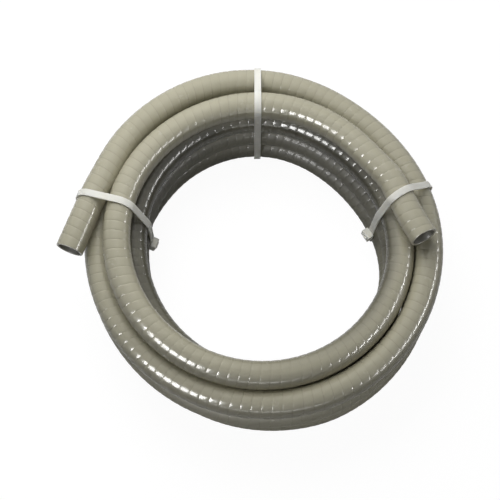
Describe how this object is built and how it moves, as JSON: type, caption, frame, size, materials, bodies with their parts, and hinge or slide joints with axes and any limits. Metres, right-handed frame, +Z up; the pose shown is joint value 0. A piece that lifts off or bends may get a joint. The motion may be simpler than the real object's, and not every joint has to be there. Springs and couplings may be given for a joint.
{
  "type": "sewer hose kit",
  "caption": "Coil of warm grey flexible waste hose, wound in two stacked columns and bound by cable ties, with both plain hose ends open.",
  "frame": {"origin": "on the floor, under the middle of the whole part's box", "axes": "+Z up, the coil's axis; -Y is the side where both free ends point; +X is the side of the end that lies on top of the coil"},
  "size_m": [0.417, 0.4108, 0.1315],
  "materials": {
    "hose_pvc": "satin warm grey flexible PVC",
    "tie_nylon": "satin natural white nylon"
  },
  "bodies": {
    "coil": {"hose_end_b": "hose_pvc", "hose_length_1": "hose_pvc", "hose_length_2": "hose_pvc", "hose_length_3": "hose_pvc", "hose_length_4": "hose_pvc", "hose_length_5": "hose_pvc", "hose_length_6": "hose_pvc", "hose_length_7": "hose_pvc", "hose_end_a": "hose_pvc", "tie_left": "tie_nylon", "tie_top": "tie_nylon", "tie_right": "tie_nylon"},
    "left_pawl": {"tie_left_pawl": "tie_nylon"},
    "top_pawl": {"tie_top_pawl": "tie_nylon"},
    "right_pawl": {"tie_right_pawl": "tie_nylon"}
  },
  "joints": [
    {"name": "left_pawl_hinge", "type": "hinge", "parent": "coil", "child": "left_pawl", "pos_m": [-0.11394, 0.01041, 0.03083], "axis": [0.2837, 0.9579, -0.0436], "range_deg": [0, 10], "stiffness_Nm_per_rad": 0.002, "springref_deg": -5.73},
    {"name": "top_pawl_hinge", "type": "hinge", "parent": "coil", "child": "top_pawl", "pos_m": [0.0075, 0.19849, 0.0615], "axis": [1, 0, 0], "range_deg": [0, 10], "stiffness_Nm_per_rad": 0.002, "springref_deg": -5.73},
    {"name": "right_pawl_hinge", "type": "hinge", "parent": "coil", "child": "right_pawl", "pos_m": [0.13478, 0.02148, 0.03189], "axis": [0.5213, -0.8508, -0.0663], "range_deg": [0, 10], "stiffness_Nm_per_rad": 0.002, "springref_deg": -5.73}
  ]
}
